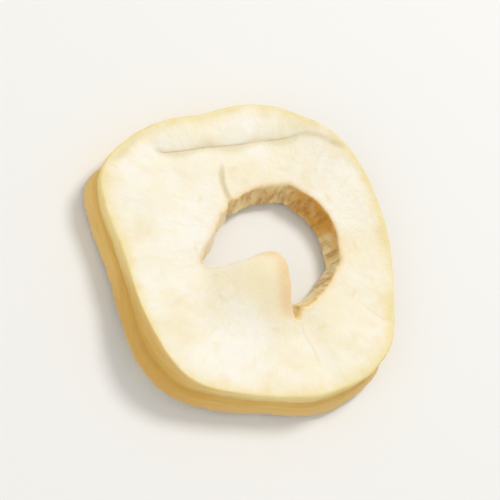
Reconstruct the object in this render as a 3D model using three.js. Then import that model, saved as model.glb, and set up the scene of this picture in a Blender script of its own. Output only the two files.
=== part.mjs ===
// A dried apple ring: one cross slice of a peeled and cored apple, air-dried until it turned leathery and warped.
// Millimetres, +Z up. The ring lies flat with its shown face up. The origin is on the surface that it rests on,
// under the middle of its outline, and +X and +Y run right and up across the shown face.
import * as THREE from "three";

// The slice as it was cut
const RING_RADIUS = 29.8; // from the middle of the slice to its peeled rim, on average
const HOLE_RADIUS = 12.4; // of the cored hole, on average
const HOLE_SHIFT = { x: 4.2, y: 1.2 }; // the corer went in off the middle
const FLESH_THICKNESS = 5.6;

// What drying did to its outline. Each wave has a depth and the direction of one crest.
const RIM_WAVES = [
  { count: 2, depth: 0.6, crest: 80 },
  { count: 3, depth: 0.7, crest: 47 },
  { count: 4, depth: 1.2, crest: 57 },
  { count: 5, depth: 0.45, crest: 15 },
  { count: 9, depth: 0.2, crest: 5 },
];
const RIM_CORNERS = [
  { at: 159, spread: 10, depth: 1.1 },
  { at: 226, spread: 16, depth: 2.4 },
];
const LIP_WAVES = [{ count: 2, depth: 1.5, crest: 44 }]; // the hole dried longer than wide
// An apple core has five seed pockets, and each leaves a nick in the hole's lip.
const POCKET_NICKS = [
  { at: 200, spread: 12, depth: 4.0 },
  { at: 137, spread: 5, depth: 0.8 },
  { at: 72, spread: 7, depth: 0.5 },
  { at: 355, spread: 8, depth: 0.6 },
  { at: 275, spread: 7, depth: 3.4 },
];
// A lobe of flesh that reaches into the hole. Its end is blunter than a nick, so its power is higher.
const TONGUE = { at: 236, before: 31, after: 35, power: 3, depth: 9.0 };
// The corer went in aslant, so on one side the hole's wall runs in under its lip by this reach.
const CORE_SLANT = { at: 62, spread: 75, reach: 1.7 };

// What drying did to its thickness
const RIM_SWELL = 0.16; // the dense flesh under the peel shrank least
const LIP_SHRINK = 0.12; // the flesh beside the core shrank most
const LIP_ROUNDING = 0.9;
const RIM_ROUNDING = 0.65;
const RIM_HOLLOW = 0.45; // how far the peeled wall sank in between its two edges

// How drying bent it out of the flat
const DISH = 0.7; // rise of the rim all round
const SADDLE = { rise: 0.35, crest: 72 }; // two sides up, two sides down
const TONGUE_CURL = { at: 233, from: 6.0, spread: 9.0, rise: 5.4 }; // the near lip stands up over the hole
// Beyond a line square to its heading the flesh bends by this much for each square millimetre.
const BENDS = [
  { heading: 212, from: 17, bend: 0.011 }, // the near left side curls up and shows its wall
  { heading: 54, from: 13, bend: 0.004 },
  { heading: 300, from: 18, bend: 0.008 },
  { heading: 106, from: 18, bend: -0.006 }, // the far side droops a little
];
// Straight ridges and creases of the whole slice, each from a point along its heading
const FOLDS = [
  { x: -10, y: -4, heading: 257, length: 19, left: 3.4, right: 3.4, rise: -0.5 }, // from the hole to the rim
  { x: -19, y: 9, heading: 268, length: 26, left: 4, right: 4, rise: 0.6 }, // ridge along the left side
  { x: 7, y: -11, heading: 290, length: 17, left: 3.2, right: 3.2, rise: -0.7 },
  { x: -19, y: 17.4, heading: 14, length: 32, left: 2.1, right: 4, rise: -0.8 }, // above the hole, steep beyond
];
const FOLD_FADE = 3; // a fold dies out over this length on either side of each end
const RIM_RIPPLES = [
  { count: 7, depth: 0.25, crest: 10 },
  { count: 11, depth: 0.15, crest: 25 },
];

// How it lies: turned about X and then about Y until three feet of its underside touch the table, in degrees
const LIE = { aboutX: 0.62, aboutY: 0.29 };
const REST_PRESS = 0.45; // how much of the lowest flesh is pressed flat by resting

// How finely the flesh is faceted
const TURN_STEPS = 108;
const TOP_STEPS = 16;
const UNDER_STEPS = 12;
const WALL_STEPS = 3;
const CORNER_STEPS = 3;
const SLOPE_STEP = 1e-3; // share of a turn or of a limb's width over which a slope is taken

const radians = THREE.MathUtils.degToRad;
const lerp = THREE.MathUtils.lerp;

// A smooth bump round one direction: 1 there, falling off over the spread before it and after it, in degrees.
function bump(turn, at, before, after = before, power = 2) {
  const away = Math.atan2(Math.sin(turn - radians(at)), Math.cos(turn - radians(at)));
  const share = Math.abs(away) / radians(away < 0 ? before : after);
  return Math.exp(-(share ** power));
}

function wave(turn, { count, depth, crest }) {
  return depth * Math.cos(count * (turn - radians(crest)));
}

// Distance from the middle of the slice to its rim.
function rimRadius(turn) {
  const waves = RIM_WAVES.reduce((sum, each) => sum + wave(turn, each), 0);
  const corners = RIM_CORNERS.reduce((sum, each) => sum + each.depth * bump(turn, each.at, each.spread), 0);
  return RING_RADIUS + waves + corners;
}

// Distance from the middle of the hole to its lip.
function lipRadius(turn) {
  const waves = LIP_WAVES.reduce((sum, each) => sum + wave(turn, each), 0);
  const nicks = POCKET_NICKS.reduce((sum, each) => sum + each.depth * bump(turn, each.at, each.spread), 0);
  const tongue = bump(turn, TONGUE.at, TONGUE.before, TONGUE.after, TONGUE.power);
  return HOLE_RADIUS + waves + nicks - TONGUE.depth * tongue;
}

// The two ends of the limb in one direction, seen from above: its lip at the hole and its rim.
function limbEnds(turn) {
  const lip = lipRadius(turn);
  const rim = rimRadius(turn);
  const along = new THREE.Vector2(Math.cos(turn), Math.sin(turn));
  return {
    lip: along.clone().multiplyScalar(lip).add(new THREE.Vector2(HOLE_SHIFT.x, HOLE_SHIFT.y)),
    rim: along.clone().multiplyScalar(rim),
  };
}

// How far (x, y) lies along a heading, and how far to the left of it.
function seenAlong(heading, x, y) {
  const cos = Math.cos(radians(heading));
  const sin = Math.sin(radians(heading));
  return { along: x * cos + y * sin, across: y * cos - x * sin };
}

function foldRise({ x: startX, y: startY, heading, length, left: leftWidth, right: rightWidth, rise }, x, y) {
  const { along, across } = seenAlong(heading, x - startX, y - startY);
  const width = across > 0 ? leftWidth : rightWidth;
  const begun = THREE.MathUtils.smoothstep(along, -FOLD_FADE, FOLD_FADE);
  const goingOn = 1 - THREE.MathUtils.smoothstep(along, length - FOLD_FADE, length + FOLD_FADE);
  return rise * begun * goingOn * Math.exp(-((across / width) ** 2));
}

function tongueRise(x, y) {
  const tipX = HOLE_SHIFT.x + TONGUE_CURL.from * Math.cos(radians(TONGUE_CURL.at));
  const tipY = HOLE_SHIFT.y + TONGUE_CURL.from * Math.sin(radians(TONGUE_CURL.at));
  const away = Math.hypot(x - tipX, y - tipY) / TONGUE_CURL.spread;
  return TONGUE_CURL.rise * Math.exp(-(away ** 2));
}

// Rise of the slice's middle layer over the flat that it was cut in.
function rise(x, y) {
  const turn = Math.atan2(y, x);
  const reach = Math.hypot(x, y) / RING_RADIUS;
  const saddle = SADDLE.rise * Math.cos(2 * (turn - radians(SADDLE.crest)));
  const ripples = RIM_RIPPLES.reduce((sum, each) => sum + wave(turn, each), 0);
  const bends = BENDS.reduce(
    (sum, each) => sum + each.bend * Math.max(0, seenAlong(each.heading, x, y).along - each.from) ** 2,
    0,
  );
  const folds = FOLDS.reduce((sum, each) => sum + foldRise(each, x, y), 0);
  return (DISH + saddle) * reach ** 2 + ripples * reach ** 4 + tongueRise(x, y) + bends + folds;
}

function middleLayer(turn, out) {
  const { lip, rim } = limbEnds(turn);
  const x = lerp(lip.x, rim.x, out);
  const y = lerp(lip.y, rim.y, out);
  return new THREE.Vector3(x, y, rise(x, y));
}

// The direction straight out of the shown face.
function faceNormal(turn, out) {
  const here = middleLayer(turn, out);
  const outward = middleLayer(turn, out + SLOPE_STEP).sub(here);
  const round = middleLayer(turn + SLOPE_STEP, out).sub(here);
  return outward.cross(round).normalize();
}

function thickness(out) {
  return FLESH_THICKNESS * (1 + RIM_SWELL * out ** 2 - LIP_SHRINK * (1 - out) ** 2);
}

// Stations round a limb's cross-section, from the top of the rim over the shown face to the hole and back
// underneath. end runs from -1 at the hole to 1 at the rim and side from -1 below to 1 above, both before rounding,
// and (arcOut, arcUp) is where the station lies on its corner's rounding.
function sectionStations() {
  const stations = [];
  const corners = [
    { end: 1, side: 1, steps: TOP_STEPS },
    { end: -1, side: 1, steps: WALL_STEPS },
    { end: -1, side: -1, steps: UNDER_STEPS },
    { end: 1, side: -1, steps: WALL_STEPS },
  ];
  corners.forEach((corner, i) => {
    const next = corners[(i + 1) % corners.length];
    for (let step = 0; step < CORNER_STEPS; step++) {
      const arc = radians(90 * (i + step / CORNER_STEPS));
      stations.push({ end: corner.end, side: corner.side, arcOut: Math.cos(arc), arcUp: Math.sin(arc) });
    }
    const arc = radians(90 * (i + 1));
    for (let step = 0; step < corner.steps; step++) {
      const share = step / corner.steps;
      stations.push({
        end: lerp(corner.end, next.end, share),
        side: lerp(corner.side, next.side, share),
        arcOut: Math.cos(arc),
        arcUp: Math.sin(arc),
      });
    }
  });
  return stations;
}

function fleshPoint(turn, station) {
  const { lip, rim } = limbEnds(turn);
  const width = lip.distanceTo(rim);
  const rounding = lerp(LIP_ROUNDING, RIM_ROUNDING, (station.end + 1) / 2);
  const hollow = RIM_HOLLOW * (1 - station.side ** 2) * Math.max(0, station.end);
  const under = ((1 - station.side) / 2) * Math.max(0, -station.end);
  const slant = CORE_SLANT.reach * bump(turn, CORE_SLANT.at, CORE_SLANT.spread) * under;
  const across = station.end * (width / 2 - rounding) + rounding * station.arcOut - hollow - slant;
  const out = 0.5 + across / width;
  const up = station.side * (thickness(out) / 2 - rounding) + rounding * station.arcUp;
  return middleLayer(turn, out).addScaledVector(faceNormal(turn, out), up);
}

// The whole ring as one closed body: a cross-section carried once round the hole.
function fleshGeometry() {
  const stations = sectionStations();
  const points = [];
  for (let i = 0; i < TURN_STEPS; i++) {
    const turn = (2 * Math.PI * i) / TURN_STEPS;
    stations.forEach((station) => points.push(fleshPoint(turn, station)));
  }
  const faces = [];
  const at = (i, j) => (i % TURN_STEPS) * stations.length + (j % stations.length);
  for (let i = 0; i < TURN_STEPS; i++) {
    for (let j = 0; j < stations.length; j++) {
      faces.push(at(i, j), at(i + 1, j), at(i + 1, j + 1));
      faces.push(at(i, j), at(i + 1, j + 1), at(i, j + 1));
    }
  }
  return new THREE.BufferGeometry().setFromPoints(points).setIndex(faces);
}

// Lays the ring on z = 0, presses its lowest flesh flat there and centres its outline on the origin.
function setDown(geometry) {
  geometry.rotateX(radians(LIE.aboutX)).rotateY(radians(LIE.aboutY));
  geometry.computeBoundingBox();
  const { min, max } = geometry.boundingBox;
  geometry.translate(-(min.x + max.x) / 2, -(min.y + max.y) / 2, -min.z - REST_PRESS);
  const position = geometry.getAttribute("position");
  for (let i = 0; i < position.count; i++) {
    position.setZ(i, Math.max(0, position.getZ(i)));
  }
  geometry.computeVertexNormals();
  return geometry;
}

function driedFlesh() {
  return new THREE.MeshStandardMaterial({ color: "#efe3bf", roughness: 0.62, metalness: 0 });
}

const ring = new THREE.Mesh(setDown(fleshGeometry()), driedFlesh());
ring.name = "apple_ring";

const group = new THREE.Group();
group.add(ring);

export default group;
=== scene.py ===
"""A dried apple ring on a pale table: one cross slice of a peeled and cored apple, air-dried until leathery.

The ring's form repeats the slice as it was cut and bent, at a finer grain, with creases and a furrow along
its rim. A Geometry Nodes tree then adds what drying did to its surface: broad bulges, dimples, fine shrink
wrinkles and a rougher wall round the hole. Lengths are in millimetres and angles in degrees in the tables
below, and lengths are in metres wherever Blender reads them.
"""
import math

import bpy
import numpy as np
from mathutils import Matrix, Vector


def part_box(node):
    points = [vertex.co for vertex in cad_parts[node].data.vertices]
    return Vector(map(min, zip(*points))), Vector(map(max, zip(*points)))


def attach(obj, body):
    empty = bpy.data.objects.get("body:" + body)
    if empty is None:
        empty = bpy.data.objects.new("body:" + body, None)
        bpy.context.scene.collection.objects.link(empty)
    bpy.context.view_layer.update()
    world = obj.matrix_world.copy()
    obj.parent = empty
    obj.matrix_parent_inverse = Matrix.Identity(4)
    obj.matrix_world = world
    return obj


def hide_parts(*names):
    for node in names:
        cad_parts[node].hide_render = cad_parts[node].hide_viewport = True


MM = 0.001
NODE = "apple_ring"
PIECE = "dried_apple_flesh"

# The slice as it was cut
RING_RADIUS = 29.8
HOLE_RADIUS = 12.4
HOLE_SHIFT = (4.2, 1.2)
FLESH_THICKNESS = 5.6

# What drying did to its outline. Each wave is count, depth and crest.
# Each corner or nick is at, spread and depth.
RIM_WAVES = [(2, 0.6, 80), (3, 0.7, 47), (4, 1.2, 57), (5, 0.45, 15), (9, 0.2, 5)]
RIM_CORNERS = [(159, 10, 1.1), (226, 16, 2.4)]
LIP_WAVES = [(2, 1.5, 44)]
POCKET_NICKS = [(200, 12, 4.0), (137, 5, 0.8), (72, 7, 0.5), (355, 8, 0.6), (275, 7, 3.4)]
TONGUE = {"at": 236, "before": 31, "after": 35, "power": 3, "depth": 9.0}
CORE_SLANT = {"at": 62, "spread": 75, "reach": 1.7}

# What drying did to its thickness
RIM_SWELL = 0.16
LIP_SHRINK = 0.12
LIP_ROUNDING = 0.9
RIM_ROUNDING = 0.65
RIM_HOLLOW = 0.45

# How drying bent it out of the flat
DISH = 0.7
SADDLE = {"rise": 0.35, "crest": 72}
TONGUE_CURL = {"at": 233, "from": 6.0, "spread": 9.0, "rise": 5.4}
BENDS = [(212, 17, 0.011), (54, 13, 0.004), (300, 18, 0.008), (106, 18, -0.006)]  # heading, from, bend
FOLDS = [  # x, y, heading, length, width to its left and to its right, rise
    (-10, -4, 257, 19, 3.4, 3.4, -0.5),
    (-19, 9, 268, 26, 4, 4, 0.6),
    (7, -11, 290, 17, 3.2, 3.2, -0.7),
    (-19, 17.4, 14, 32, 2.1, 4, -0.8),
]
FOLD_FADE = 3
RIM_RIPPLES = [(7, 0.25, 10), (11, 0.15, 25)]
LIE = {"about_x": 0.62, "about_y": 0.29}
REST_PRESS = 0.45

# Fine creases of the shown face alone, too narrow for the whole slice to follow
CREASES = [  # x, y, heading, length, width, depth
    (-19, 17.3, 14, 31, 1.0, 0.26),
    (11, 25, 352, 9, 0.6, 0.22),
    (-4.9, 8.6, 93, 7.5, 0.35, 0.45),
    (-28, 14, 41, 9, 0.5, 0.2),
    (7, -13.5, 287, 9, 0.35, 0.14),
    (-20, -14, 30, 7, 0.5, 0.12),
    (13, 17, 62, 6, 0.4, 0.12),
    (20, -9, 335, 6, 0.35, 0.14),
]
CREASE_FADE = 1.6
CREASE_WANDER = {"reach": 0.5, "length": 11}
CREASE_SHADE_SPREAD = 1.8  # the painted shade along each crease spreads this much wider than the crease

# Painted shade along the tongue's steep side, which turns away from the light: x, y, heading, length, width
TONGUE_SIDE_SHADES = [(2.0, -3.4, 281, 9, 2.0), (1.2, -2.6, 178, 4, 1.1)]
TONGUE_SHADE_FADE = 2

# How far in from the hole's lip or the peeled rim each zone is whole, and how far in it ends
ZONES = {
    "lip": (0.3, 1.8),
    "hole_wall": (0.1, 0.8),
    "peeled_wall": (0.05, 0.6),
    "tongue": (5, 13),
    "shrunk_lip": (0, 6),
    "shrunk_rim": (0, 7),
}
RIM_GLOW = 5.5  # the golden tinge of the rim reaches this far in
LEAST_SHRUNK = 0.35  # how strong the shrink wrinkles are in the middle of the limb, against 1 at its edges
FACE_LEVELS = (0.3, 0.5)  # the shown face begins between these shares of the thickness above the middle

# Where the walls are darker or paler. The deep brown round the hole and the darker gold on the lower-left
# wall are partly browning and partly painted shade;
# the hole wall's pale left side is painted light; and the hole wall stays paler along the tongue.
DEEP_BROWN_AND_SHADE = [(38, 27, 1.0), (282, 16, 0.45)]  # heading, spread, share
# painted light: the hole wall's left side is kept pale
HOLE_WALL_PAINTED_LIGHT = {"at": 180, "spread": 32, "share": 0.85}
PALE_TONGUE = 0.6
# darker gold on the lower-left wall, partly browning and partly painted shade
GOLD_WALL_AND_SHADE = {"at": 222, "spread": 30}

# A furrow where the peeled wall drew in as it dried, between its two cut edges
FURROW = {"depth": 0.32, "level": 0.1, "width": 0.22, "deepest_at": 205, "spread": 70, "least": 0.4}
FURROW_WAVES = [(3, 0.14, 40), (7, 0.1, 100), (16, 0.05, 3)]

# Ten marks where the apple's veins cross the slice, on a circle round its core
VEINS = {"count": 10, "radius": 16.5, "first_at": 8, "length": 1.1, "width": 0.45}

# Relief of the dried surface. Each layer repeats at its spacing, rises and sinks by its depth, and is as
# strong as the attribute that "where" names, or the same all over.
RELIEF = {
    "Bulge": {"spacing": 9, "depth": 0.16, "detail": 1.0, "where": None},
    "Dimple": {"spacing": 3.4, "depth": 0.06, "detail": 1.0, "where": None},
    "Wrinkle": {"spacing": 2.2, "depth": 0.12, "detail": 2.0, "where": "shrunk"},
    "Grain": {"spacing": 1.3, "depth": 0.15, "detail": 3.0, "where": "hole_wall"},
}
RELIEF_SEED = 4
FIBRE_RADIUS = 20  # the fibres are as wide here as the material says, and narrower towards the hole
FIBRE_STRETCH = 5  # they are this much longer than wide

# How finely the flesh is meshed: 600 x 156 quads stay under 200,000 triangles
TURN_STEPS = 600
TOP_STEPS = 64
UNDER_STEPS = 36
WALL_STEPS = 16
CORNER_STEPS = 6
SLOPE_STEP = 1e-4

# The photograph's view of the ring, and a long lens
VIEW_AZIMUTH = -45
VIEW_ELEVATION = 53
VIEW_ROLL = 45
LENS_MM = 135
SENSOR_MM = 36
FRAME_WIDTH = 0.09  # metres across the picture at the ring
TABLE_HALF = 2.0  # metres


def bump(turn, at, before, after=None, power=2):
    """A smooth bump round one direction: 1 there, falling off over the spread before it and after it."""
    away = (turn - math.radians(at) + math.pi) % (2 * math.pi) - math.pi
    spread = np.where(away < 0, before, before if after is None else after)
    return np.exp(-(np.abs(away / np.radians(spread)) ** power))


def wave(turn, count, depth, crest):
    return depth * np.cos(count * (turn - math.radians(crest)))


def smooth_step(value, low, high):
    share = np.clip((value - low) / (high - low), 0, 1)
    return share * share * (3 - 2 * share)


def rim_radius(turn):
    waves = sum(wave(turn, *each) for each in RIM_WAVES)
    corners = sum(depth * bump(turn, at, spread) for at, spread, depth in RIM_CORNERS)
    return RING_RADIUS + waves + corners


def lip_radius(turn):
    waves = sum(wave(turn, *each) for each in LIP_WAVES)
    nicks = sum(depth * bump(turn, at, spread) for at, spread, depth in POCKET_NICKS)
    tongue = bump(turn, TONGUE["at"], TONGUE["before"], TONGUE["after"], TONGUE["power"])
    return HOLE_RADIUS + waves + nicks - TONGUE["depth"] * tongue


def limb_ends(turn):
    """x and y of the lip at the hole and of the rim, in each direction."""
    lip = lip_radius(turn)
    rim = rim_radius(turn)
    lip_xy = (HOLE_SHIFT[0] + lip * np.cos(turn), HOLE_SHIFT[1] + lip * np.sin(turn))
    rim_xy = (rim * np.cos(turn), rim * np.sin(turn))
    return lip_xy, rim_xy


def seen_along(heading, x, y):
    cos = math.cos(math.radians(heading))
    sin = math.sin(math.radians(heading))
    return x * cos + y * sin, y * cos - x * sin


def line_share(along, length, fade):
    """1 along a line of some length, fading out over a stretch on either side of each end."""
    return smooth_step(along, -fade, fade) * (1 - smooth_step(along, length - fade, length + fade))


def fold_rise(x, y, start_x, start_y, heading, length, left_width, right_width, rise):
    along, across = seen_along(heading, x - start_x, y - start_y)
    width = np.where(across > 0, left_width, right_width)
    return rise * line_share(along, length, FOLD_FADE) * np.exp(-((across / width) ** 2))


def crease_depth(x, y, widen, start_x, start_y, heading, length, width, depth):
    along, across = seen_along(heading, x - start_x, y - start_y)
    wander = CREASE_WANDER["reach"] * np.sin(2 * math.pi * along / CREASE_WANDER["length"] + heading)
    across_share = np.exp(-(((across - wander) / (widen * width)) ** 2))
    return depth * line_share(along, length, CREASE_FADE) * across_share


def tongue_shade_share(x, y, start_x, start_y, heading, length, width):
    along, across = seen_along(heading, x - start_x, y - start_y)
    return line_share(along, length, TONGUE_SHADE_FADE) * np.exp(-((across / width) ** 2))


def furrow_share(turn, side):
    """1 at the bottom of the rim's furrow where it is deepest, 0 away from it."""
    level = FURROW["level"] + sum(wave(turn, *each) for each in FURROW_WAVES)
    strength = FURROW["least"] + (1 - FURROW["least"]) * bump(turn, FURROW["deepest_at"], FURROW["spread"])
    return strength * np.exp(-(((side - level) / FURROW["width"]) ** 2))


def vein_marks(x, y):
    turn = np.arctan2(y - HOLE_SHIFT[1], x - HOLE_SHIFT[0])
    reach = np.hypot(x - HOLE_SHIFT[0], y - HOLE_SHIFT[1])
    step = 2 * math.pi / VEINS["count"]
    along = ((turn - math.radians(VEINS["first_at"]) + step / 2) % step - step / 2) * reach
    return np.exp(-(((reach - VEINS["radius"]) / VEINS["width"]) ** 2) - (along / VEINS["length"]) ** 2)


def tongue_rise(x, y):
    tip_x = HOLE_SHIFT[0] + TONGUE_CURL["from"] * math.cos(math.radians(TONGUE_CURL["at"]))
    tip_y = HOLE_SHIFT[1] + TONGUE_CURL["from"] * math.sin(math.radians(TONGUE_CURL["at"]))
    away = np.hypot(x - tip_x, y - tip_y) / TONGUE_CURL["spread"]
    return TONGUE_CURL["rise"] * np.exp(-(away ** 2))


def slice_rise(x, y):
    """Rise of the slice's middle layer over the flat that it was cut in."""
    turn = np.arctan2(y, x)
    reach = np.hypot(x, y) / RING_RADIUS
    saddle = wave(turn, 2, SADDLE["rise"], SADDLE["crest"])
    ripples = sum(wave(turn, *each) for each in RIM_RIPPLES)
    bends = sum(
        bend * np.maximum(0, seen_along(heading, x, y)[0] - start) ** 2 for heading, start, bend in BENDS
    )
    folds = sum(fold_rise(x, y, *each) for each in FOLDS)
    return (DISH + saddle) * reach ** 2 + ripples * reach ** 4 + tongue_rise(x, y) + bends + folds


def middle_layer(turn, out):
    (lip_x, lip_y), (rim_x, rim_y) = limb_ends(turn)
    x = lip_x + (rim_x - lip_x) * out
    y = lip_y + (rim_y - lip_y) * out
    return np.stack([x, y, slice_rise(x, y)], axis=-1)


def face_normal(turn, out):
    here = middle_layer(turn, out)
    outward = middle_layer(turn, out + SLOPE_STEP) - here
    round_it = middle_layer(turn + SLOPE_STEP, out) - here
    normal = np.cross(outward, round_it)
    return normal / np.linalg.norm(normal, axis=-1, keepdims=True)


def section_stations():
    """end, side, arc_out and arc_up of each station round a limb's cross-section, as four arrays."""
    rows = []
    corners = [(1, 1, TOP_STEPS), (-1, 1, WALL_STEPS), (-1, -1, UNDER_STEPS), (1, -1, WALL_STEPS)]
    for i, (end, side, steps) in enumerate(corners):
        next_end, next_side, _ = corners[(i + 1) % len(corners)]
        for step in range(CORNER_STEPS):
            arc = math.radians(90 * (i + step / CORNER_STEPS))
            rows.append((end, side, math.cos(arc), math.sin(arc)))
        arc = math.radians(90 * (i + 1))
        for step in range(steps):
            share = step / steps
            mid_end = end + (next_end - end) * share
            mid_side = side + (next_side - side) * share
            rows.append((mid_end, mid_side, math.cos(arc), math.sin(arc)))
    return np.array(rows).T


def within(zone, distance):
    """1 close to an edge, falling to 0 where the zone ends."""
    return 1 - smooth_step(distance, *ZONES[zone])


def flesh_grid():
    """The slice's points in millimetres, as turns by stations by 3, and the attributes stored with them."""
    turn = np.linspace(0, 2 * math.pi, TURN_STEPS, endpoint=False)[:, None]
    end, side, arc_out, arc_up = [row[None, :] for row in section_stations()]
    (lip_x, lip_y), (rim_x, rim_y) = limb_ends(turn)
    width = np.hypot(rim_x - lip_x, rim_y - lip_y)
    rounding = LIP_ROUNDING + (RIM_ROUNDING - LIP_ROUNDING) * (end + 1) / 2
    at_rim = np.maximum(0, end)
    furrow = furrow_share(turn, side) * at_rim
    hollow = RIM_HOLLOW * (1 - side ** 2) * at_rim + FURROW["depth"] * furrow
    slant = CORE_SLANT["reach"] * bump(turn, CORE_SLANT["at"], CORE_SLANT["spread"]) * (1 - side) / 2
    across = end * (width / 2 - rounding) + rounding * arc_out - hollow - slant * np.maximum(0, -end)
    out = 0.5 + across / width
    thick = FLESH_THICKNESS * (1 + RIM_SWELL * out ** 2 - LIP_SHRINK * (1 - out) ** 2)
    up = side * (thick / 2 - rounding) + rounding * arc_up
    turns = np.broadcast_to(turn, out.shape)
    middle = middle_layer(turns, out)
    x = middle[..., 0]
    y = middle[..., 1]
    # The second sum is painted shade along the creases, spread wider than the creases themselves.
    creases, crease_shade = [
        sum(crease_depth(x, y, widen, *each) for each in CREASES) for widen in (1.0, CREASE_SHADE_SPREAD)
    ]
    on_face = smooth_step(up / thick, *FACE_LEVELS)
    points = middle + face_normal(turns, out) * (up - creases * on_face)[..., None]

    from_lip = out * width + slant
    from_rim = (1 - out) * width
    close_to_edge = np.maximum(within("shrunk_lip", from_lip), within("shrunk_rim", from_rim))
    hole_wall = within("hole_wall", from_lip)
    peeled_wall = within("peeled_wall", from_rim - hollow)
    on_tongue = bump(turns, TONGUE["at"], TONGUE["before"], TONGUE["after"])
    # painted light: the browning is taken off the hole wall's left side
    pale = HOLE_WALL_PAINTED_LIGHT["share"] * bump(turns, HOLE_WALL_PAINTED_LIGHT["at"], HOLE_WALL_PAINTED_LIGHT["spread"])
    browned = hole_wall * (1 - PALE_TONGUE * on_tongue) * (1 - pale)
    # browning and painted shade, deepest on the hole's far side and at its bottom nick
    deep_and_shade = np.maximum.reduce([share * bump(turns, at, spread) for at, spread, share in DEEP_BROWN_AND_SHADE])
    fibre_x = FIBRE_RADIUS * np.cos(turns)
    fibre_y = FIBRE_RADIUS * np.sin(turns)
    attributes = {
        "lip_zone": within("lip", from_lip),
        "rim_zone": (1 - np.clip(from_rim / RIM_GLOW, 0, 1)) ** 2,
        "peeled_wall": peeled_wall,
        "wall_level": np.broadcast_to((side + 1) / 2, out.shape),
        # the furrow's share also carries the painted shade in the furrow
        "furrow": furrow,
        "crease_shade": crease_shade * on_face,
        "veined": vein_marks(x, y),
        # where the tongue's painted light goes
        "tongue": on_tongue * within("tongue", from_lip),
        # painted shade on the tongue's steep side
        "tongue_side_shade": sum(tongue_shade_share(x, y, *each) for each in TONGUE_SIDE_SHADES) * on_face,
        "shrunk": LEAST_SHRUNK + (1 - LEAST_SHRUNK) * close_to_edge,
        "hole_wall": hole_wall,
        "browned": browned,
        "browned_deep_and_shade": browned * deep_and_shade,
        # partly browning and partly painted shade on the lower-left wall
        "gold_wall_and_shade": peeled_wall * bump(turns, GOLD_WALL_AND_SHADE["at"], GOLD_WALL_AND_SHADE["spread"]),
        "fibre_place": np.stack([fibre_x, fibre_y, out * width / FIBRE_STRETCH], axis=-1),
    }
    return points, attributes


def lay_down(points):
    """Turns the slice as it lies, lowers it on to the table and sets it where the frame has it."""
    turned = Matrix.Rotation(math.radians(LIE["about_y"]), 3, "Y") @ Matrix.Rotation(
        math.radians(LIE["about_x"]), 3, "X"
    )
    points = points @ np.array(turned).T
    low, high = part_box(NODE)
    middle = np.array([(low.x + high.x) / 2, (low.y + high.y) / 2]) / MM
    mine = (points.min(axis=(0, 1)) + points.max(axis=(0, 1))) / 2
    points[..., :2] += middle - mine[:2]
    points[..., 2] += low.z / MM - points[..., 2].min() - REST_PRESS
    points[..., 2] = np.maximum(points[..., 2], low.z / MM)
    return points * MM


def grid_mesh(name, points):
    """A closed mesh of quads through points that run round both ways, facing outwards."""
    rows, columns = points.shape[:2]
    i, j = np.meshgrid(np.arange(rows), np.arange(columns), indexing="ij")
    next_i = (i + 1) % rows
    next_j = (j + 1) % columns
    corners = [i * columns + j, next_i * columns + j, next_i * columns + next_j, i * columns + next_j]
    quads = np.stack([corner.ravel() for corner in corners], axis=1)
    mesh = bpy.data.meshes.new(name)
    mesh.vertices.add(rows * columns)
    mesh.vertices.foreach_set("co", points.reshape(-1).astype(np.float32))
    mesh.loops.add(quads.size)
    mesh.loops.foreach_set("vertex_index", quads.ravel().astype(np.int32))
    mesh.polygons.add(len(quads))
    mesh.polygons.foreach_set("loop_start", np.arange(0, quads.size, 4, dtype=np.int32))
    mesh.update(calc_edges=True)
    mesh.validate()
    mesh.polygons.foreach_set("use_smooth", np.ones(len(quads), dtype=bool))
    return mesh


def store(mesh, name, values):
    """Stores a number, or a place of three numbers, with each of the mesh's points."""
    kind, field = ("FLOAT_VECTOR", "vector") if values.ndim == 3 else ("FLOAT", "value")
    attribute = mesh.attributes.new(name, kind, "POINT")
    attribute.data.foreach_set(field, np.ascontiguousarray(values, dtype=np.float32).ravel())


def linear(hex_colour):
    """Linear RGBA of an sRGB hex colour."""
    parts = [int(hex_colour[i : i + 2], 16) / 255 for i in (0, 2, 4)]
    return [p / 12.92 if p <= 0.04045 else ((p + 0.055) / 1.055) ** 2.4 for p in parts] + [1.0]


def add_node(tree, kind, links=None, values=None, **settings):
    """Adds a node with its settings, the links into its inputs and their values, by name or by number."""
    node = tree.nodes.new(kind)
    for key, value in settings.items():
        setattr(node, key, value)
    for key, value in (values or {}).items():
        node.inputs[key].default_value = value
    for key, source in (links or {}).items():
        tree.links.new(source, node.inputs[key])
    return node


def relief_height(tree, given, layer_number, name, detail, where):
    """How far one layer of relief lifts the surface: smooth noise that rises and sinks about zero."""
    place = add_node(tree, "GeometryNodeInputPosition").outputs[0]
    scale = add_node(tree, "ShaderNodeMath", {1: given[name + " Spacing"]}, {0: 1.0}, operation="DIVIDE")
    seed = add_node(tree, "ShaderNodeMath", {0: given["Seed"]}, {1: layer_number}, operation="ADD")
    noise = add_node(
        tree, "ShaderNodeTexNoise", {"Vector": place, "W": seed.outputs[0], "Scale": scale.outputs[0]},
        {"Detail": detail}, noise_dimensions="4D",
    )
    centred = add_node(
        tree, "ShaderNodeMath", {0: noise.outputs[0]}, {1: 4.0, 2: -2.0}, operation="MULTIPLY_ADD"
    )
    height = add_node(
        tree, "ShaderNodeMath", {0: centred.outputs[0], 1: given[name + " Depth"]}, operation="MULTIPLY"
    )
    if where:
        share = add_node(tree, "GeometryNodeInputNamedAttribute", values={"Name": where})
        height = add_node(
            tree, "ShaderNodeMath", {0: height.outputs[0], 1: share.outputs[0]}, operation="MULTIPLY"
        )
    return height.outputs[0]


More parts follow.
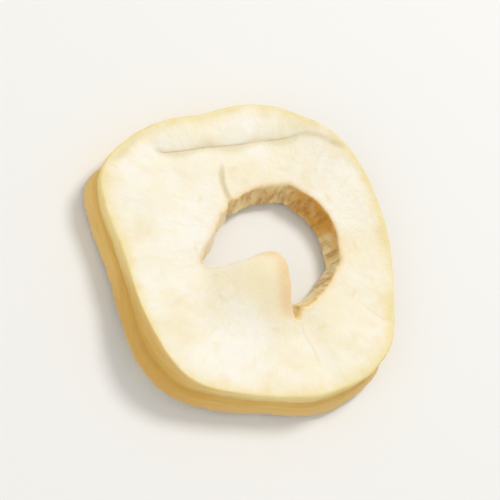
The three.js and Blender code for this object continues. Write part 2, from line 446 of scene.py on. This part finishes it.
def relief_tree():
    """Geometry Nodes that raise and sink the flesh along its normals and keep its feet on the table."""
    tree = bpy.data.node_groups.new("drying_relief", "GeometryNodeTree")
    tree.interface.new_socket("Flesh", in_out="INPUT", socket_type="NodeSocketGeometry")
    for name in RELIEF:
        tree.interface.new_socket(name + " Spacing", in_out="INPUT", socket_type="NodeSocketFloat")
        tree.interface.new_socket(name + " Depth", in_out="INPUT", socket_type="NodeSocketFloat")
    tree.interface.new_socket("Seed", in_out="INPUT", socket_type="NodeSocketFloat")
    tree.interface.new_socket("Table Height", in_out="INPUT", socket_type="NodeSocketFloat")
    tree.interface.new_socket("Material", in_out="INPUT", socket_type="NodeSocketMaterial")
    tree.interface.new_socket("Flesh", in_out="OUTPUT", socket_type="NodeSocketGeometry")
    given = add_node(tree, "NodeGroupInput").outputs
    height = None
    for layer_number, (name, layer) in enumerate(RELIEF.items()):
        rise = relief_height(tree, given, layer_number, name, layer["detail"], layer["where"])
        if height:
            rise = add_node(tree, "ShaderNodeMath", {0: height, 1: rise}, operation="ADD").outputs[0]
        height = rise
    normal = add_node(tree, "GeometryNodeInputNormal").outputs[0]
    offset = add_node(tree, "ShaderNodeVectorMath", {0: normal, "Scale": height}, operation="SCALE")
    raised = add_node(
        tree, "GeometryNodeSetPosition", {"Geometry": given["Flesh"], "Offset": offset.outputs[0]}
    )
    place = add_node(tree, "GeometryNodeInputPosition").outputs[0]
    parts = add_node(tree, "ShaderNodeSeparateXYZ", {0: place}).outputs
    level = add_node(tree, "ShaderNodeMath", {0: parts["Z"], 1: given["Table Height"]}, operation="MAXIMUM")
    rested_place = add_node(
        tree, "ShaderNodeCombineXYZ", {"X": parts["X"], "Y": parts["Y"], "Z": level.outputs[0]}
    )
    rested = add_node(
        tree, "GeometryNodeSetPosition",
        {"Geometry": raised.outputs[0], "Position": rested_place.outputs[0]},
    )
    real = add_node(tree, "GeometryNodeRealizeInstances", {"Geometry": rested.outputs[0]})
    dressed = add_node(
        tree, "GeometryNodeSetMaterial", {"Geometry": real.outputs[0], "Material": given["Material"]}
    )
    add_node(tree, "NodeGroupOutput", {"Flesh": dressed.outputs[0]})
    return tree


def with_relief(piece, material):
    """The piece's mesh with its relief, as a plain mesh."""
    tree = relief_tree()
    inputs = {"Seed": float(RELIEF_SEED), "Table Height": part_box(NODE)[0].z, "Material": material}
    for name, layer in RELIEF.items():
        inputs[name + " Spacing"] = layer["spacing"] * MM
        inputs[name + " Depth"] = layer["depth"] * MM
    modifier = piece.modifiers.new("relief", "NODES")
    modifier.node_group = tree
    for socket in tree.interface.items_tree:
        if socket.in_out == "INPUT" and socket.name in inputs:
            modifier[socket.identifier] = inputs[socket.name]
    evaluated = piece.evaluated_get(bpy.context.evaluated_depsgraph_get())
    mesh = bpy.data.meshes.new_from_object(evaluated)
    piece.modifiers.remove(modifier)
    return mesh


def flesh_material():
    """Air-dried apple flesh, peeled and cut with a knife and left raw.

    It is matte as suede, pale cream with straw-coloured blotches and faint fibres that run out from the core.
    It is golden and streaked along the wall where the peel was, tan to brown and a little sticky where the
    core was, and it lets some light through where it is thin. Shade is painted into its colour along the
    creases, on the tongue's steep side, in the rim's furrow, on the lower-left wall and round the hole's far
    side, and light is painted on to the tongue and the hole wall's left side.
    """
    material = bpy.data.materials.new("air_dried_apple_flesh")
    material.use_nodes = True
    tree = material.node_tree
    tree.nodes.clear()
    place = add_node(tree, "ShaderNodeTexCoord").outputs["Object"]
    stored = {
        name: add_node(tree, "ShaderNodeAttribute", attribute_name=name).outputs["Fac"]
        for name in (
            "lip_zone", "rim_zone", "peeled_wall", "gold_wall_and_shade", "wall_level", "furrow", "crease_shade",
            "veined", "tongue", "tongue_side_shade", "browned", "browned_deep_and_shade",
        )
    }
    fibre_place = add_node(tree, "ShaderNodeAttribute", attribute_name="fibre_place").outputs["Vector"]
    drawn_round, drawn_down = [
        add_node(tree, "ShaderNodeVectorMath", {0: place}, {1: squeeze}, operation="MULTIPLY")
        for squeeze in ((0.1, 0.1, 1.0), (1.0, 1.0, 0.2))
    ]
    # Dried fibres are about 0.3 mm wide, which is too fine to show, so they are drawn at 0.8 mm.
    patterns = {}
    for name, vector, size, detail in (
        ("blotches", place, 11 * MM, 3.0),
        ("freckles", place, 4 * MM, 2.0),
        ("stains", place, 3.5 * MM, 3.0),
        ("streaks", drawn_round.outputs[0], 0.8 * MM, 3.0),
        ("scores", drawn_down.outputs[0], 1.1 * MM, 3.0),
        ("fibres", fibre_place, 0.8, 2.0),
        ("fuzz", place, 0.3 * MM, 1.0),
    ):
        noise = add_node(
            tree, "ShaderNodeTexNoise", {"Vector": vector}, {"Scale": 1 / size, "Detail": detail}
        )
        patterns[name] = noise.outputs[0]
    masks = stored | patterns
    for name, zone, pattern in (
        ("gilded", "rim_zone", "freckles"),
        ("stained", "browned", "stains"),
        ("stained_deep_and_shade", "browned_deep_and_shade", "stains"),
        ("scored", "browned", "scores"),
    ):
        mask = add_node(
            tree, "ShaderNodeMath", {0: stored[zone], 1: patterns[pattern]}, operation="MULTIPLY"
        )
        masks[name] = mask.outputs[0]

    level = add_node(
        tree, "ShaderNodeMath", {0: patterns["streaks"], 2: stored["wall_level"]}, {1: 0.7},
        operation="MULTIPLY_ADD",
    )
    level = add_node(tree, "ShaderNodeMath", {0: level.outputs[0]}, {1: 0.35}, operation="SUBTRACT")
    wall = add_node(tree, "ShaderNodeValToRGB", {"Fac": level.outputs[0]})
    bands = wall.color_ramp.elements
    bands[0].color = linear("EBC484")
    bands[1].color = linear("F2DE9E")
    for at, tint in ((0.2, "ECC878"), (0.45, "E3B75E"), (0.6, "E8C26E"), (0.8, "EED286")):
        bands.new(at).color = linear(tint)

    colour = None
    for mask, begins, full, amount, tint in (
        ("blotches", 0.35, 0.7, 1.0, "F6ECCF"),
        ("freckles", 0.52, 0.72, 0.35, "F3E0B8"),
        ("fibres", 0.5, 0.75, 0.3, "F1E3BC"),
        ("veined", 0.0, 1.0, 0.35, "EBD6A0"),
        # painted light: the tongue is tinted warmer to offset the grey of the shade on its slope
        ("tongue", 0.0, 1.0, 0.8, "FCEBC2"),
        ("gilded", 0.0, 0.5, 0.8, "EFDD9E"),
        # painted shade along the creases
        ("crease_shade", 0.03, 0.3, 0.75, "E4D8B2"),
        ("lip_zone", 0.0, 1.0, 0.5, "F5D9AE"),
        # painted shade on the tongue's steep side
        ("tongue_side_shade", 0.1, 1.0, 0.75, "F0CF98"),
        ("peeled_wall", 0.0, 1.0, 1.0, None),
        # darker gold on the lower-left wall, partly browning and partly painted shade
        ("gold_wall_and_shade", 0.0, 1.0, 0.55, "D09C38"),
        # painted shade in the rim's furrow
        ("furrow", 0.3, 1.0, 0.6, "D2A552"),
        ("browned", 0.0, 1.0, 1.0, "F6E0A8"),
        ("stained", 0.4, 0.65, 0.8, "E2B874"),
        # browning and painted shade on the hole's far wall
        ("stained_deep_and_shade", 0.08, 0.52, 0.95, "D2962C"),
        ("scored", 0.46, 0.66, 0.45, "9C6A2A"),
    ):
        share = add_node(
            tree, "ShaderNodeMapRange", {"Value": masks[mask]},
            {"From Min": begins, "From Max": full, "To Max": amount}, interpolation_type="SMOOTHSTEP",
        )
        mixed = add_node(tree, "ShaderNodeMix", {0: share.outputs[0]}, data_type="RGBA")
        if colour:
            tree.links.new(colour, mixed.inputs[6])
        else:
            mixed.inputs[6].default_value = linear("FBF5E8")
        if tint:
            mixed.inputs[7].default_value = linear(tint)
        else:
            tree.links.new(wall.outputs["Color"], mixed.inputs[7])
        colour = mixed.outputs[2]

    # The shrunk cells are about 0.2 mm across, and are drawn at 0.6 mm to show at all.
    cells = add_node(
        tree, "ShaderNodeTexVoronoi", {"Vector": place}, {"Scale": 1 / (0.6 * MM)}, feature="SMOOTH_F1"
    )
    wall_streaks = add_node(
        tree, "ShaderNodeMath", {0: patterns["streaks"], 1: stored["peeled_wall"]}, operation="MULTIPLY"
    )
    height = cells.outputs["Distance"]
    for pattern, strength in (
        (patterns["fibres"], 1.2),
        (patterns["fuzz"], 0.6),
        (wall_streaks.outputs[0], 2.0),
    ):
        added = add_node(
            tree, "ShaderNodeMath", {0: pattern, 2: height}, {1: strength}, operation="MULTIPLY_ADD"
        )
        height = added.outputs[0]
    bumped = add_node(
        tree, "ShaderNodeBump", {"Height": height}, {"Strength": 1.0, "Distance": 0.05 * MM}
    )
    sheen = add_node(
        tree, "ShaderNodeMapRange", {"Value": stored["browned"]}, {"To Min": 0.64, "To Max": 0.46}
    )
    shader = add_node(
        tree, "ShaderNodeBsdfPrincipled",
        {"Base Color": colour, "Roughness": sheen.outputs[0], "Normal": bumped.outputs[0]},
        {
            "IOR": 1.4,
            "Subsurface Weight": 0.22,
            "Subsurface Radius": (1.0, 0.62, 0.3),
            "Subsurface Scale": 1.6 * MM,
        },
    )
    add_node(tree, "ShaderNodeOutputMaterial", {"Surface": shader.outputs["BSDF"]})
    return material


def make_flesh():
    points, attributes = flesh_grid()
    cut = grid_mesh("cut_slice", lay_down(points))
    for name, values in attributes.items():
        store(cut, name, values)
    flesh = bpy.data.objects.new(PIECE, cut)
    bpy.context.scene.collection.objects.link(flesh)
    flesh.data = with_relief(flesh, flesh_material())
    bpy.data.meshes.remove(cut)
    flesh.data.name = PIECE
    return flesh


def make_table():
    """A matt white table top that bounces a little light up on to the ring."""
    mesh = bpy.data.meshes.new("table")
    corners = [(x * TABLE_HALF, y * TABLE_HALF, 0) for x, y in ((-1, -1), (1, -1), (1, 1), (-1, 1))]
    mesh.from_pydata(corners, [], [(0, 1, 2, 3)])
    table = bpy.data.objects.new("table", mesh)
    bpy.context.scene.collection.objects.link(table)
    material = bpy.data.materials.new("matt_white_table")
    material.use_nodes = True
    shader = material.node_tree.nodes["Principled BSDF"]
    shader.inputs["Base Color"].default_value = linear("F2F1EE")
    shader.inputs["Roughness"].default_value = 0.7
    mesh.materials.append(material)


def add_lamp(name, towards, distance, size, power, colour):
    """An area lamp that shines at the ring from a direction."""
    data = bpy.data.lights.new(name, "AREA")
    data.shape = "DISK"
    data.size = size
    data.energy = power
    data.color = linear(colour)[:3]
    lamp = bpy.data.objects.new(name, data)
    direction = Vector(towards).normalized()
    lamp.location = direction * distance
    lamp.rotation_euler = direction.to_track_quat("Z", "Y").to_euler()
    bpy.context.scene.collection.objects.link(lamp)


def make_lights():
    """A soft key lamp from the picture's upper right, a weak fill from its lower left, and a white sky."""
    add_lamp("key", (0.5, 0.55, 1.05), 1.0, 0.35, 4.8, "FFFDF8")
    add_lamp("fill", (-0.9, -0.6, 0.7), 1.2, 1.0, 2.6, "FFFFFF")
    world = bpy.data.worlds.new("studio")
    bpy.context.scene.world = world
    world.use_nodes = True
    background = world.node_tree.nodes["Background"]
    background.inputs["Color"].default_value = linear("FFFFFF")
    background.inputs["Strength"].default_value = 0.55


def make_camera():
    low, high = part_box(NODE)
    aim = Vector(((low.x + high.x) / 2, (low.y + high.y) / 2, high.z / 2))
    azimuth = math.radians(VIEW_AZIMUTH)
    elevation = math.radians(VIEW_ELEVATION)
    back = Vector((
        math.sin(azimuth) * math.cos(elevation),
        -math.cos(azimuth) * math.cos(elevation),
        math.sin(elevation),
    ))
    data = bpy.data.cameras.new("camera")
    data.lens = LENS_MM
    data.sensor_width = SENSOR_MM
    data.clip_start = 0.01
    distance = FRAME_WIDTH * LENS_MM / SENSOR_MM
    camera = bpy.data.objects.new("camera", data)
    facing = back.to_track_quat("Z", "Y").to_matrix().to_4x4()
    roll = Matrix.Rotation(math.radians(VIEW_ROLL), 4, "Z")
    camera.matrix_world = Matrix.Translation(aim + back * distance) @ (facing @ roll)
    bpy.context.scene.collection.objects.link(camera)
    bpy.context.scene.camera = camera


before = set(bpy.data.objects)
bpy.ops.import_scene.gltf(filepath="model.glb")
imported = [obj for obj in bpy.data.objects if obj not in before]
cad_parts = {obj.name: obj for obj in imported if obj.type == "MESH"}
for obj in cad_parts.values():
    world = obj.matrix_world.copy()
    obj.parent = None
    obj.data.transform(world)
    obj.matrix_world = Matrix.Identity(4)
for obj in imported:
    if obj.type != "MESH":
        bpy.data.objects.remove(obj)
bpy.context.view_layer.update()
bpy.context.scene.view_settings.view_transform = "Standard"
make_camera()
flesh = make_flesh()
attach(flesh, "root")
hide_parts(NODE)
make_table()
make_lights()
